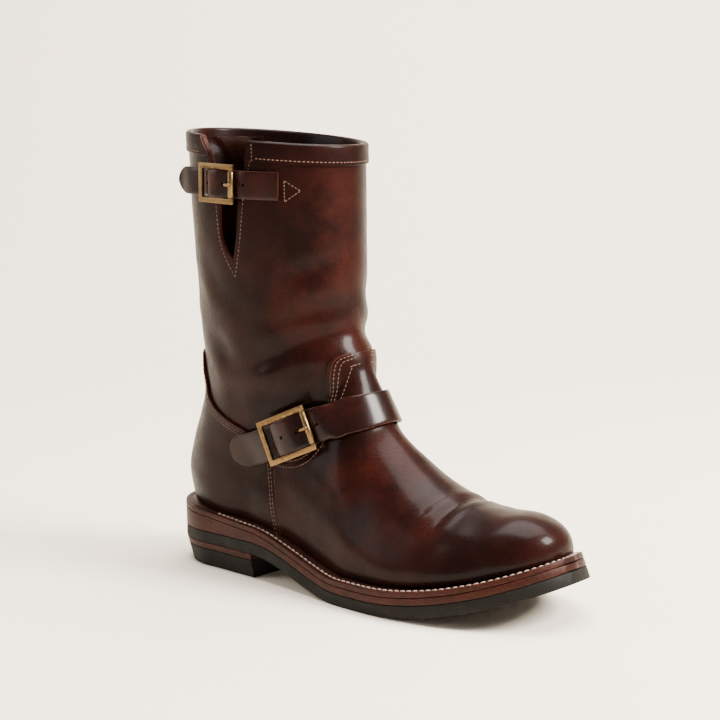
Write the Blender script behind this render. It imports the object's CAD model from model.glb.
"""Right engineer boot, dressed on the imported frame: waxed leather, stitching, brass and sole.

Metres. +X points to the toe, +Y to the inner side of the foot and +Z up from the floor. Every
leather piece is taken from the boot's form, which is a tube of level sections for heel and shaft
blended into a dome of upright sections for the forefoot, with hand placed folds on its skin.
"""

import logging
import math
from dataclasses import dataclass
from enum import Enum
from typing import Any, Callable, NamedTuple, Sequence

import bmesh
import bpy
import numpy as np
from mathutils import Matrix, Vector


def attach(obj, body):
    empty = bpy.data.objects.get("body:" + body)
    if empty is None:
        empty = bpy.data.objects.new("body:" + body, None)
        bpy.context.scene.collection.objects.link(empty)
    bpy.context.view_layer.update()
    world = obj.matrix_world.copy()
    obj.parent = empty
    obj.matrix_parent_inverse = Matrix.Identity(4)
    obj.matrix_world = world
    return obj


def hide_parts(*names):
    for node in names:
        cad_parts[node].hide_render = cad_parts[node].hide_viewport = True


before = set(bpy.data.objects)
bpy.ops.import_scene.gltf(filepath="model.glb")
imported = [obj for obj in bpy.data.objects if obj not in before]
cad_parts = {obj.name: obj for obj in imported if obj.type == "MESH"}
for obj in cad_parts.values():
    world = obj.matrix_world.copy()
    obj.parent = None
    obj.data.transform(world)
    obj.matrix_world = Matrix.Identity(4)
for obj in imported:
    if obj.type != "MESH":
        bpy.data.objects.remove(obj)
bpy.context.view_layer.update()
LOG = logging.getLogger("boot")

Array = np.ndarray
Colour = tuple[float, float, float]


class Side(Enum):
    """The two sides of a right boot."""

    OUTER = -1
    INNER = 1


class SoleStation(NamedTuple):
    """Half widths of the sole as shares of the ball width at a share of its length."""

    share: float
    outer: float
    inner: float


class TubeRow(NamedTuple):
    """A level section: level 0 is the heel seat, 1 the ankle and 2 the collar."""

    level: float
    centre: float
    half_length: float
    outer: float
    inner: float
    blend: float


class FootRow(NamedTuple):
    """An upright section of the forefoot: ridge height, width and squareness."""

    share: float
    ridge: float
    width: float
    power: float


class FanRow(NamedTuple):
    """Where a section of the upper starts along the feather line and ends over the ridge."""

    section: float
    low: float
    high: float


class SeamPoint(NamedTuple):
    """A seam's side-view place: share of the outsole's length and of the instep's height."""

    share: float
    height: float


class SlitRow(NamedTuple):
    """Edges of the slit at a share of its depth, in shares of its width."""

    depth: float
    back: float
    front: float


class FoldRow(NamedTuple):
    """A fold of the gusset in plan: across the slit, and inwards."""

    across: float
    depth: float


class ArchRow(NamedTuple):
    """Rise of a strap over its buckle's centre bar."""

    place: float
    rise: float


class Fold(NamedTuple):
    """A soft fold on the skin between two side-view places, with depth and half width in mm.

    A fold with no side crosses over the ridge and shows on both sides.
    """

    side: Side | None
    share: float
    height: float
    to_share: float
    to_height: float
    depth: float
    width: float


SOLE_STATIONS = (
    SoleStation(0.00, 0.336, 0.340),
    SoleStation(0.14, 0.342, 0.345),
    SoleStation(0.24, 0.364, 0.352),
    SoleStation(0.34, 0.386, 0.322),
    SoleStation(0.45, 0.430, 0.322),
    SoleStation(0.56, 0.484, 0.390),
    SoleStation(0.67, 0.504, 0.470),
    SoleStation(0.78, 0.478, 0.502),
    SoleStation(0.90, 0.452, 0.486),
    SoleStation(1.00, 0.440, 0.462),
)
TUBE_ROWS = (
    TubeRow(0.00, 0.174, 0.350, 0.470, 0.470, 0.0),
    TubeRow(0.28, 0.182, 0.398, 0.505, 0.508, 0.0),
    TubeRow(0.62, 0.212, 0.412, 0.505, 0.505, 0.0),
    TubeRow(1.00, 0.272, 0.480, 0.545, 0.545, 0.0),
    TubeRow(1.13, 0.275, 0.487, 0.390, 0.388, 1.0),
    TubeRow(1.27, 0.264, 0.464, 0.422, 0.418, 1.0),
    TubeRow(1.50, 0.263, 0.470, 0.450, 0.446, 1.0),
    TubeRow(1.80, 0.260, 0.476, 0.474, 0.470, 1.0),
    TubeRow(2.10, 0.259, 0.480, 0.480, 0.480, 1.0),
)
FOOT_ROWS = (
    FootRow(0.10, 0.600, 0.85, 2.00),
    FootRow(0.33, 0.920, 0.94, 1.80),
    FootRow(0.42, 1.080, 0.96, 1.70),
    FootRow(0.49, 1.050, 0.97, 1.65),
    FootRow(0.55, 0.820, 0.99, 1.65),
    FootRow(0.61, 0.692, 1.00, 1.70),
    FootRow(0.66, 0.602, 1.00, 1.85),
    FootRow(0.72, 0.527, 1.00, 2.00),
    FootRow(0.78, 0.488, 1.00, 2.15),
    FootRow(0.84, 0.480, 1.00, 2.30),
    FootRow(0.90, 0.488, 1.00, 2.50),
    FootRow(1.00, 0.500, 1.00, 2.60),
)
FAN_ROWS = (
    FanRow(0, 0.000, 0.000),
    FanRow(2, 0.020, 0.020),
    FanRow(5, 0.120, 0.140),
    FanRow(9, 0.330, 0.440),
    FanRow(13, 0.620, 0.760),
    FanRow(16, 0.850, 0.930),
    FanRow(18, 0.945, 0.985),
    FanRow(19, 0.975, 1.010),
    FanRow(20, 0.993, 1.035),
    FanRow(21, 1.000, 1.060),
    FanRow(25, 1.330, 1.300),
    FanRow(32, 2.000, 2.000),
)
SIDE_SEAM = (
    SeamPoint(0.345, 0.20),
    SeamPoint(0.337, 0.35),
    SeamPoint(0.324, 0.52),
    SeamPoint(0.312, 0.66),
)
COUNTER_TOP = (
    SeamPoint(0.300, 0.715),
    SeamPoint(0.257, 0.764),
    SeamPoint(0.212, 0.807),
    SeamPoint(0.166, 0.853),
    SeamPoint(0.130, 0.905),
    SeamPoint(0.115, 0.960),
    SeamPoint(0.108, 1.060),
    SeamPoint(0.094, 1.130),
    SeamPoint(0.060, 1.155),
)
VAMP_TOP = (
    SeamPoint(0.318, 0.665),
    SeamPoint(0.360, 0.660),
    SeamPoint(0.400, 0.690),
    SeamPoint(0.428, 0.750),
    SeamPoint(0.446, 0.840),
    SeamPoint(0.453, 0.960),
    SeamPoint(0.456, 1.110),
    SeamPoint(0.462, 1.165),
    SeamPoint(0.476, 1.190),
    SeamPoint(0.560, 1.200),
)
SLIT_ROWS = (
    SlitRow(-0.30, -0.900, 0.520),
    SlitRow(0.00, -0.610, 0.460),
    SlitRow(0.10, -0.460, 0.420),
    SlitRow(0.50, -0.235, 0.220),
    SlitRow(0.76, -0.270, 0.140),
    SlitRow(0.93, -0.140, 0.055),
    SlitRow(1.00, 0.000, 0.020),
)
GUSSET_FOLDS = (
    FoldRow(1.14, 0.10),
    FoldRow(1.00, 0.00),
    FoldRow(0.82, -0.24),
    FoldRow(0.36, -0.28),
    FoldRow(0.20, 0.06),
    FoldRow(0.38, 0.42),
    FoldRow(0.64, 0.70),
    FoldRow(0.50, 1.02),
    FoldRow(0.16, 0.98),
    FoldRow(-0.08, 0.72),
    FoldRow(-0.24, 0.40),
)
ARCH_ROWS = (
    ArchRow(-1.30, 0.00),
    ArchRow(-1.00, 0.00),
    ArchRow(-0.76, 0.22),
    ArchRow(-0.50, 0.64),
    ArchRow(-0.24, 0.93),
    ArchRow(0.00, 1.00),
    ArchRow(0.24, 0.93),
    ArchRow(0.50, 0.64),
    ArchRow(0.76, 0.22),
    ArchRow(1.00, 0.00),
    ArchRow(1.30, 0.00),
)
OUT, INN = Side.OUTER, Side.INNER
SKIN_FOLDS = (
    Fold(OUT, 0.115, 1.52, 0.215, 1.28, 1.3, 7.5),
    Fold(OUT, 0.120, 1.33, 0.235, 1.16, 1.5, 6.5),
    Fold(OUT, 0.250, 1.44, 0.150, 1.66, 0.7, 9.0),
    Fold(OUT, 0.465, 1.30, 0.330, 1.16, 1.7, 6.0),
    Fold(OUT, 0.340, 1.16, 0.230, 1.02, 1.1, 7.0),
    Fold(OUT, 0.470, 1.44, 0.380, 1.33, 0.9, 5.5),
    Fold(OUT, 0.380, 1.55, 0.470, 1.68, 0.5, 5.0),
    Fold(OUT, 0.400, 1.13, 0.300, 0.93, 0.9, 5.5),
    Fold(INN, 0.115, 1.47, 0.230, 1.25, 1.4, 7.5),
    Fold(INN, 0.130, 1.27, 0.250, 1.08, 1.2, 6.5),
    Fold(INN, 0.470, 1.31, 0.340, 1.14, 1.8, 6.0),
    Fold(INN, 0.330, 1.20, 0.240, 1.00, 0.8, 7.0),
    Fold(INN, 0.465, 1.52, 0.370, 1.40, 0.8, 6.0),
    Fold(OUT, 0.722, 0.56, 0.690, 0.44, 0.50, 3.2),
    Fold(INN, 0.778, 0.48, 0.752, 0.36, 0.40, 3.2),
    Fold(None, 0.752, 0.58, 0.738, 0.40, 1.25, 3.4),
)


def ease(at: Any, keys: Sequence[float], values: Sequence[float]) -> Array:
    """Read a curve through a table that never swings past its rows.

    Args:
        at: Places to read, held level beyond the table's ends.
        keys: The table's places, rising.
        values: The table's values.

    Returns:
        The curve's values.
    """
    keys = np.asarray(keys, float)
    values = np.asarray(values, float)
    at = np.clip(np.asarray(at, float), keys[0], keys[-1])
    step = np.diff(keys)
    slope = np.diff(values) / step
    bend = np.zeros(len(keys))
    turn = slope[:-1] * slope[1:] > 0
    bend[1:-1][turn] = 2 * slope[:-1][turn] * slope[1:][turn] / (slope[:-1] + slope[1:])[turn]
    bend[0], bend[-1] = slope[0], slope[-1]
    i = np.clip(np.searchsorted(keys, at, side="right") - 1, 0, len(step) - 1)
    t = (at - keys[i]) / step[i]
    return (
        values[i] * (1 + 2 * t) * (1 - t) ** 2
        + step[i] * bend[i] * t * (1 - t) ** 2
        + values[i + 1] * t * t * (3 - 2 * t)
        + step[i] * bend[i + 1] * t * t * (t - 1)
    )


def column(rows: Sequence[Any], name: str) -> list[float]:
    """Return one named column of a table."""
    return [getattr(row, name) for row in rows]


def round_end(u: Any, power: float) -> Array:
    """Return a half width that rounds off from 1 at u = 0 to nothing at u = 1."""
    return (1 - np.clip(u, 0, 1) ** power) ** (1 / power)


def unit(vectors: Array) -> Array:
    """Return vectors scaled to length 1."""
    return vectors / np.maximum(np.linalg.norm(vectors, axis=-1, keepdims=True), 1e-12)


def curve_through(points: Any, per_span: int) -> Array:
    """Return a smooth curve through points, with per_span steps between each two."""
    points = np.asarray(points, float)
    padded = np.vstack([2 * points[0] - points[1], points, 2 * points[-1] - points[-2]])
    t = (np.arange(per_span) / per_span)[:, None]
    spans = []
    for i in range(len(points) - 1):
        a, b, c, d = padded[i : i + 4]
        bent = (2 * a - 5 * b + 4 * c - d) * t * t + (3 * b - a - 3 * c + d) * t**3
        spans.append(0.5 * (2 * b + (c - a) * t + bent))
    return np.vstack([*spans, points[-1:]])


def along_line(points: Array, pitch: float) -> tuple[Array, Array]:
    """Space places evenly along a line.

    Args:
        points: The line's points.
        pitch: Wanted distance between places.

    Returns:
        The places and the line's direction at each.
    """
    run = np.concatenate([[0], np.cumsum(np.linalg.norm(np.diff(points, axis=0), axis=1))])
    count = max(2, int(round(run[-1] / pitch)))
    at = (np.arange(count) + 0.5) * run[-1] / count
    place = np.stack([np.interp(at, run, points[:, k]) for k in range(3)], axis=1)
    ahead = np.stack([np.interp(at + 2e-4, run, points[:, k]) for k in range(3)], axis=1)
    behind = np.stack([np.interp(at - 2e-4, run, points[:, k]) for k in range(3)], axis=1)
    return place, unit(ahead - behind)


@dataclass(frozen=True)
class BootForm:
    """The boot's form: sole outline and side line, shaft, foot and the folds of its skin."""

    length: float = 0.308
    ball_width: float = 0.109
    toe_swing: float = 0.0015
    heel_length: float = 0.086
    heel_taper: float = 0.003
    heel_stack: float = 0.0165
    outsole_thick: float = 0.0075
    midsole_thick: float = 0.0046
    welt_thick: float = 0.0032
    seat_wedge: float = 0.0088
    toe_spring: float = 0.026
    welt_ledge: float = 0.0088
    seat_ledge: float = 0.0048
    height: float = 0.278
    collar_drop: float = 0.0125
    shaft_length: float = 0.131
    shaft_width: float = 0.100
    ankle_height: float = 0.118
    instep_height: float = 0.123
    seat_width: float = 0.066
    wall: float = 0.0022
    overlay: float = 0.0016
    gap: float = 0.0003
    base_gap: float = 0.0007
    slit_depth: float = 0.073
    slit_width: float = 0.036
    slit_centre: float = 0.271
    heel_round: float = 0.130
    toe_round: float = 0.720
    toe_power: float = 2.2
    rows_per_section: int = 4
    half_points: int = 54

    @property
    def heel_back(self) -> float:
        """The x of the outsole's back."""
        return -(self.heel_length + self.heel_taper) / 2

    def share(self, x: Any) -> Array:
        """Return how far along the outsole x lies, 0 at the back and 1 at the toe."""
        return (np.asarray(x, float) - self.heel_back) / self.length

    def at(self, share: Any) -> Array:
        """Return the x of a share of the outsole's length."""
        return self.heel_back + np.asarray(share, float) * self.length

    def swing(self, share: Array) -> Array:
        """Return how far the middle line swings inwards."""
        return self.toe_swing * np.clip((share - 0.6) / 0.4, 0, 1) ** 2

    def widths(self, share: Array) -> tuple[Array, Array]:
        """Return the sole's outer and inner half widths before its round ends."""
        keys = column(SOLE_STATIONS, "share")
        outer = ease(share, keys, column(SOLE_STATIONS, "outer")) * self.ball_width
        return outer, ease(share, keys, column(SOLE_STATIONS, "inner")) * self.ball_width

    def bottom(self, share: Array) -> Array:
        """Return the height of the outsole's underside."""
        arch = np.clip((share - 0.270) / 0.275, 0, 1)
        spring = np.clip((share - 0.607) / 0.393, 0, 1)
        return self.heel_stack * (1 - arch * arch * (3 - 2 * arch)) + self.toe_spring * spring**2

    def wedge(self, share: Array) -> Array:
        """Return the midsole's extra thickness under the heel."""
        return self.seat_wedge * np.clip(1 - share / 0.360, 0, 1)

    def sole_point(self, x: Array, y: Array, above: Any) -> Array:
        """Return points of the sole, above being square to the outsole's underside."""
        share = self.share(x)
        rise = self.bottom(share + 0.001) - self.bottom(share - 0.001)
        tilt = np.arctan2(rise, 0.002 * self.length)
        z = self.bottom(share) + above * np.cos(tilt)
        return np.stack([x - above * np.sin(tilt), y, z], axis=-1)

    def welt_top(self, share: Array) -> Array:
        """Return the height of the welt's top above the outsole's underside."""
        return self.outsole_thick + self.midsole_thick + self.welt_thick + self.wedge(share)

    def feather(self, x: Any) -> Array:
        """Return the height of the upper's base at x."""
        share = np.linspace(-0.05, 1.05, 400)
        line = self.sole_point(self.at(share), 0 * share, self.welt_top(share) + self.base_gap)
        return np.interp(x, line[:, 0], line[:, 2])

    def ledge(self, share: Array) -> Array:
        """Return the width of welt that shows outside the upper."""
        seat, fore = self.seat_ledge, self.welt_ledge
        return ease(share, (0.0, 0.20, 0.40, 1.0), (seat, seat, fore, fore))

    @property
    def tip(self) -> float:
        """The x of the upper's toe."""
        one = np.ones(1)
        end = self.sole_point(self.at(one), 0 * one, self.welt_top(one))
        return float(end[0, 0]) - self.welt_ledge

    def tube(self, z: Array) -> tuple[Array, Array, Array, Array]:
        """Return centre, half length and both half widths of the level section at z."""
        seat = self.heel_stack + self.welt_top(np.zeros(1))[0]
        below = (z - seat) / (self.ankle_height - seat)
        above = 1 + (z - self.ankle_height) / (self.height - self.ankle_height)
        level = np.where(z < self.ankle_height, below, above)
        keys = column(TUBE_ROWS, "level")
        blend = ease(level, keys, column(TUBE_ROWS, "blend"))
        across = self.seat_width * (1 - blend) + self.shaft_width * blend
        return (
            self.at(ease(level, keys, column(TUBE_ROWS, "centre"))),
            self.shaft_length * ease(level, keys, column(TUBE_ROWS, "half_length")),
            ease(level, keys, column(TUBE_ROWS, "outer")) * across,
            ease(level, keys, column(TUBE_ROWS, "inner")) * across,
        )

    def foot(self, x: Array) -> tuple[Array, Array, Array, Array]:
        """Return ridge height, both half widths and squareness of the upright section at x."""
        share = self.share(x)
        keys = column(FOOT_ROWS, "share")
        tip = float(self.share(self.tip))
        box = round_end((share - 0.845) / (tip - 0.845), 2.6)
        toe = round_end((share - 0.715) / (tip - 0.715), self.toe_power)
        feather = self.feather(x)
        ridge = ease(share, keys, column(FOOT_ROWS, "ridge")) * self.instep_height
        outer, inner = self.widths(share)
        fit = ease(share, keys, column(FOOT_ROWS, "width")) * toe
        return (
            feather + np.maximum((ridge - feather) * box, 1e-4),
            (outer - self.ledge(share)) * fit,
            (inner - self.ledge(share)) * fit,
            ease(share, keys, column(FOOT_ROWS, "power")),
        )

    def section(self, x: Array, z: Array) -> tuple[Array, Array, Array]:
        """Return the form's fill, 0 on its side-view outline, and both half widths."""
        centre, half_length, tube_outer, tube_inner = self.tube(z)
        ridge, foot_outer, foot_inner, power = self.foot(x)
        feather = self.feather(x)
        rise = np.clip((z - feather) / (ridge - feather), 0, 6)
        tube_fill = 1 - np.clip(np.abs((x - centre) / half_length), 0, 4) ** 2.1
        behind = np.clip(1 - self.share(x) / 0.30, 0, 3)
        foot_fill = 1 - rise**power - 6.0 * behind**2
        spread = np.sqrt((tube_fill - foot_fill) ** 2 + 0.22**2)
        lean = (1 + (tube_fill - foot_fill) / spread) / 2
        tuck = 1 - 0.045 * np.clip(1 - rise / 0.22, 0, 1) ** 2
        outer = (tube_outer * lean + foot_outer * (1 - lean)) * tuck
        inner = (tube_inner * lean + foot_inner * (1 - lean)) * tuck
        return (tube_fill + foot_fill + spread) / 2, outer, inner

    def half_width(self, x: Array, z: Array, side: Any) -> Array:
        """Return the half width on the outer side (-1) or the inner side (+1)."""
        fill, outer, inner = self.section(x, z)
        return np.sqrt(np.clip(fill, 0, None)) * np.where(np.asarray(side) < 0, outer, inner)

    def normal(self, x: Array, z: Array, side: Any) -> Array:
        """Return the outward normal of the skin."""
        step = 0.0004

        def square(at_x: Array, at_z: Array) -> Array:
            """Return the squared half width."""
            fill, outer, inner = self.section(at_x, at_z)
            return fill * np.where(np.asarray(side) < 0, outer, inner) ** 2

        lean_x = (square(x + step, z) - square(x - step, z)) / (2 * step)
        lean_z = (square(x, z + step) - square(x, z - step)) / (2 * step)
        across = 2 * self.half_width(x, z, side) * side
        return unit(np.stack([-lean_x, across, -lean_z], axis=-1))

    def relief(self, x: Array, z: Array, side: Any) -> Array:
        """Return how far the folds move the skin, faded out at the welt and the collar."""
        place = np.stack([x, z], axis=-1)
        keep = np.clip(self.half_width(x, z, side) / 0.012, 0, 1)
        moved = np.zeros(np.shape(x))
        for fold in SKIN_FOLDS:
            start = np.array([self.at(fold.share), fold.height * self.instep_height])
            end = np.array([self.at(fold.to_share), fold.to_height * self.instep_height])
            way = end - start
            t = np.clip(((place - start) @ way) / (way @ way), 0, 1)
            apart = place - start - t[..., None] * way
            off = np.linalg.norm(apart, axis=-1) / (fold.width / 1000)
            waned = np.sin(np.clip(t * 0.9 + 0.05, 0, 1) * math.pi) ** 0.5
            trough = np.exp(-(off**2)) - 0.45 * np.exp(-(((off - 1.9) / 0.85) ** 2))
            here = (np.asarray(side) < 0) == (fold.side is Side.OUTER)
            share = 1.0 if fold.side is None else np.where(here, keep, 0.0)
            moved = moved - trough * waned * fold.depth / 1000 * share
        low = np.clip((z - self.feather(x)) / 0.010, 0, 1)
        high = np.clip((self.height - 0.055 - z) / 0.020, 0, 1)
        ripple = 0.00022 * np.sin(x * 190 + z * 160) * np.sin(z * 130 - x * 60 + 1.0)
        return (moved + ripple * keep) * low * high

    def skin(self, x: Array, z: Array, side: Any, out: float = 0.0, level: Any = None) -> Array:
        """Return skin points moved out along their normals.

        Args:
            x: Side-view places along the boot.
            z: Side-view heights.
            side: -1 for the outer side or 1 for the inner side.
            out: Distance out from the skin.
            level: Where the move stays level, as at the welt and the collar.
        """
        y = self.swing(self.share(x)) + side * self.half_width(x, z, side)
        normal = self.normal(x, z, side)
        if level is not None:
            normal = np.where(level[..., None], unit(normal * np.array([1.0, 1.0, 0.0])), normal)
        push = out + self.relief(x, z, side)
        return np.stack([x, y, z], axis=-1) + normal * push[..., None]

    def outline_root(self, start: Array, way: Array, far: float) -> Array:
        """Return where lines from start along way leave the side-view outline."""
        low = np.zeros(len(start))
        high = np.full(len(start), far)
        for _ in range(40):
            middle = (low + high) / 2
            point = start + way * middle[:, None]
            inside = self.section(point[:, 0], point[:, 1])[0] > 0
            low = np.where(inside, middle, low)
            high = np.where(inside, high, middle)
        return start + way * ((low + high) / 2)[:, None]

    def heel_point(self) -> float:
        """Return the x where the upper's back meets the welt."""
        low, high = float(self.at(-0.02)), float(self.at(0.15))
        for _ in range(40):
            middle = np.array([(low + high) / 2])
            inside = self.section(middle, self.feather(middle))[0][0] > 0
            low, high = (low, float(middle[0])) if inside else (float(middle[0]), high)
        return (low + high) / 2

    def collar(self, x: Any) -> Array:
        """Return the height of the collar's edge, lower in front than behind."""
        centre = float(self.tube(np.array([self.height]))[0][0])
        return self.height - self.collar_drop * (np.asarray(x) - centre) / self.shaft_length

    def lines(self) -> tuple[Array, Array, Array]:
        """Return each section's low share and its two side-view ends, from toe to collar."""
        count = int(FAN_ROWS[-1].section) * self.rows_per_section
        at = np.linspace(0, FAN_ROWS[-1].section, count + 1)
        keys = column(FAN_ROWS, "section")
        low = ease(at, keys, column(FAN_ROWS, "low"))
        high = ease(at, keys, column(FAN_ROWS, "high"))
        back, instep, tip = self.heel_point(), float(self.at(0.5)), self.tip - 1e-5
        crease = float(self.foot(np.array([instep]))[0][0])
        seat = float(self.feather(back))
        starts, ends = [], []
        for a, b in zip(low, high):
            if b <= 1:
                x = tip + b * (instep - tip)
                end = np.array([x, float(self.foot(np.array([x]))[0][0])])
            else:
                z = crease + (b - 1) * (float(self.collar(self.at(0.5))) - crease)
                centre, half_length, _, _ = self.tube(np.array([z]))
                end = np.array([float(centre[0] + half_length[0]), z])
            if a <= 1:
                x = tip + a * (back - tip)
                start = np.array([x, float(self.feather(x))])
            else:
                z = seat + (a - 1) * (float(self.collar(self.at(0.05))) - seat)
                centre, half_length, _, _ = self.tube(np.array([z]))
                start = np.array([float(centre[0] - half_length[0]), z])
            if a >= 1.999 and b >= 1.999:
                start[1], end[1] = float(self.collar(start[0])), float(self.collar(end[0]))
            starts.append(start)
            ends.append(end)
        start, end = np.array(starts), np.array(ends)
        middle = (start + end) / 2
        top = self.outline_root(middle, end - middle, 2.0)
        base = self.outline_root(middle, middle - end, 2.0)
        start = np.where((low > 1)[:, None], base, start)
        top[0] = start[0]
        return low, start, top

    def grid(self, out: float = 0.0) -> tuple[Array, Array]:
        """Return skin points by section, and which sections are closed at the back."""
        low, start, top = self.lines()
        u = np.linspace(0, 1, self.half_points + 1)
        closing = np.clip((low - 0.75) / 0.25, 0, 1)[:, None]
        steps = np.sin(u * math.pi / 2) * (1 - closing) + (1 - np.cos(u * math.pi)) / 2 * closing
        view = start[:, None, :] + (top - start)[:, None, :] * steps[..., None]
        x, z = view[..., 0], view[..., 1]
        level = np.zeros(x.shape, bool)
        level[:, 0] = low <= 1
        level[-1, :] = True
        outer = self.skin(x, z, -1, out, level)
        inner = self.skin(x, z, 1, out, level)
        outer[0] = inner[0] = [self.tip + out, self.toe_swing, start[0][1]]
        outer[:, -1] = inner[:, -1] = (outer[:, -1] + inner[:, -1]) / 2
        shut = low >= 1
        outer[shut, 0] = inner[shut, 0] = (outer[shut, 0] + inner[shut, 0]) / 2
        return np.concatenate([outer, inner[:, -2::-1]], axis=1), shut

    def slit_tip(self) -> tuple[float, float]:
        """Return the side-view place of the slit's lower end."""
        x = float(self.at(self.slit_centre))
        return x, float(self.collar(x)) - self.slit_depth

    def slit_edges(self, height: Any) -> tuple[Array, Array]:
        """Return the x of the slit's back and front edge at heights."""
        x, z = self.slit_tip()
        depth = 1 - (np.asarray(height, float) - z) / self.slit_depth
        keys = column(SLIT_ROWS, "depth")
        back = x + self.slit_width * ease(depth, keys, column(SLIT_ROWS, "back"))
        return back, x + self.slit_width * ease(depth, keys, column(SLIT_ROWS, "front"))

    def ring(self, x: float, z: float, tilt: float, angles: Array, across: float = 0.0) -> Any:
        """Return side-view places and sides of skin points on a tilted section line.

        Args:
            x: A side-view place that the section passes.
            z: Its height.
            tilt: The section's slope.
            angles: Angles round the section, 0 in front and minus 90 degrees outside.
            across: Distance of the line from that place, square to it.
        """
        along = np.array([math.cos(tilt), math.sin(tilt)])
        base = np.array([x, z]) + np.array([-along[1], along[0]]) * across
        side = np.where(np.sin(angles) < 0, -1.0, 1.0)
        low, high = np.zeros(len(angles)), np.full(len(angles), 0.16)
        for _ in range(40):
            radius = (low + high) / 2
            at_x = base[0] + along[0] * radius * np.cos(angles)
            at_z = base[1] + along[1] * radius * np.cos(angles)
            inside = np.abs(radius * np.sin(angles)) < self.half_width(at_x, at_z, side)
            low = np.where(inside, radius, low)
            high = np.where(inside, high, radius)
        return at_x, at_z, side

    def collar_ring(self, drop: float, out: float) -> Array:
        """Return a closed ring of skin points at a drop below the collar's edge."""
        centre = float(self.at(TUBE_ROWS[-1].centre))
        middle = np.array([centre, float(self.collar(centre)) - drop])
        way = np.array([self.shaft_length, -self.collar_drop])
        ends = self.outline_root(np.array([middle, middle]), np.array([-way, way]), 0.9)
        steps = (1 - np.cos(np.linspace(0, math.pi, self.half_points + 1))) / 2
        line = ends[0] + (ends[1] - ends[0]) * steps[:, None]
        level = np.ones(len(line), bool)
        outer = self.skin(line[:, 0], line[:, 1], -1, out, level)
        inner = self.skin(line[:, 0], line[:, 1], 1, out, level)
        outer[[0, -1]] = (outer[[0, -1]] + inner[[0, -1]]) / 2
        return np.concatenate([outer, inner[-2:0:-1]])


FORM = BootForm()


def turn_out(work: bmesh.types.BMesh, mesh: bpy.types.Mesh) -> None:
    """Turn a closed mesh's faces outwards and write it down."""
    bmesh.ops.recalc_face_normals(work, faces=work.faces)
    if work.calc_volume(signed=True) < 0:
        bmesh.ops.reverse_faces(work, faces=work.faces)
    work.to_mesh(mesh)
    work.free()


def solid(
    name: str,
    points: Any,
    faces: Sequence[Sequence[int]],
    materials: Sequence[bpy.types.Material],
    slots: Sequence[int] | int = 0,
    crease: float = 42.0,
) -> bpy.types.Object:
    """Make a closed object whose faces point outwards.

    Args:
        name: The object's plain name.
        points: Corner points.
        faces: Corner numbers of each face.
        materials: The object's materials.
        slots: The material number of each face, or of all.
        crease: Edges that turn by more degrees than this stay sharp.

    Returns:
        The object, in the scene.
    """
    mesh = bpy.data.meshes.new(name)
    work = bmesh.new()
    corners = [work.verts.new(p) for p in np.asarray(points, float)]
    numbers = [slots] * len(faces) if isinstance(slots, int) else slots
    for face, number in zip(faces, numbers):
        ring = list(dict.fromkeys(face))
        if len(ring) > 2:
            work.faces.new([corners[i] for i in ring]).material_index = number
    bmesh.ops.remove_doubles(work, verts=work.verts, dist=2e-6)
    bmesh.ops.dissolve_degenerate(work, edges=work.edges, dist=1e-7)
    turn_out(work, mesh)
    for material in materials:
        mesh.materials.append(material)
    thing = bpy.data.objects.new(name, mesh)
    bpy.context.scene.collection.objects.link(thing)
    return smooth(thing, crease)


def smooth(thing: bpy.types.Object, crease: float = 42.0) -> bpy.types.Object:
    """Shade an object smooth up to an angle in degrees."""
    thing.data.shade_smooth()
    thing.data.set_sharp_from_angle(angle=math.radians(crease))
    return thing


def settle(thing: bpy.types.Object) -> bpy.types.Object:
    """Apply an object's modifiers to its mesh."""
    bpy.context.view_layer.update()
    graph = bpy.context.evaluated_depsgraph_get()
    mesh = bpy.data.meshes.new_from_object(thing.evaluated_get(graph))
    thing.modifiers.clear()
    thing.data = mesh
    return thing


def cut(
    thing: bpy.types.Object, cutter: bpy.types.Object, operation: str = "DIFFERENCE"
) -> bpy.types.Object:
    """Cut an object with another, which is used up."""
    modifier = thing.modifiers.new("cut", "BOOLEAN")
    modifier.operation = operation
    modifier.object = cutter
    modifier.solver = "EXACT"
    settle(thing)
    bpy.data.objects.remove(cutter)
    return thing


def soften(thing: bpy.types.Object, width: float, segments: int = 2) -> bpy.types.Object:
    """Round an object's sharp edges by a width."""
    modifier = thing.modifiers.new("edge", "BEVEL")
    modifier.width = width
    modifier.segments = segments
    modifier.limit_method = "ANGLE"
    modifier.angle_limit = math.radians(35)
    return smooth(settle(thing))


def grid_faces(rows: int, columns: int, start: int = 0) -> list[tuple[int, ...]]:
    """Return the quads of a grid of points stored row by row."""
    a = (np.arange(rows - 1)[:, None] * columns + np.arange(columns - 1) + start).ravel()
    return np.stack([a, a + 1, a + 1 + columns, a + columns], axis=1).tolist()


def ring_faces(loops: Sequence[Array]) -> list[tuple[int, ...]]:
    """Return the quads of a ring with a closed section, from section point by ring place."""
    rows, count = len(loops), len(loops[0])
    i, j = np.meshgrid(np.arange(rows), np.arange(count), indexing="ij")
    after, along = (i + 1) % rows, (j + 1) % count
    quads = [i * count + j, i * count + along, after * count + along, after * count + j]
    return np.stack(quads, axis=-1).reshape(-1, 4).tolist()


def sweep_faces(around: int, along: int) -> list[tuple[int, ...]]:
    """Return the faces of a closed profile carried along a path, with capped ends."""
    faces = []
    for i in range(around):
        j = (i + 1) % around
        for k in range(along - 1):
            faces.append((i * along + k, j * along + k, j * along + k + 1, i * along + k + 1))
    for k in (0, along - 1):
        for i in range(around // 2 - 1):
            pair = (i, i + 1, around - 2 - i, around - 1 - i)
            faces.append(tuple(p * along + k for p in pair))
    return faces


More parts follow.
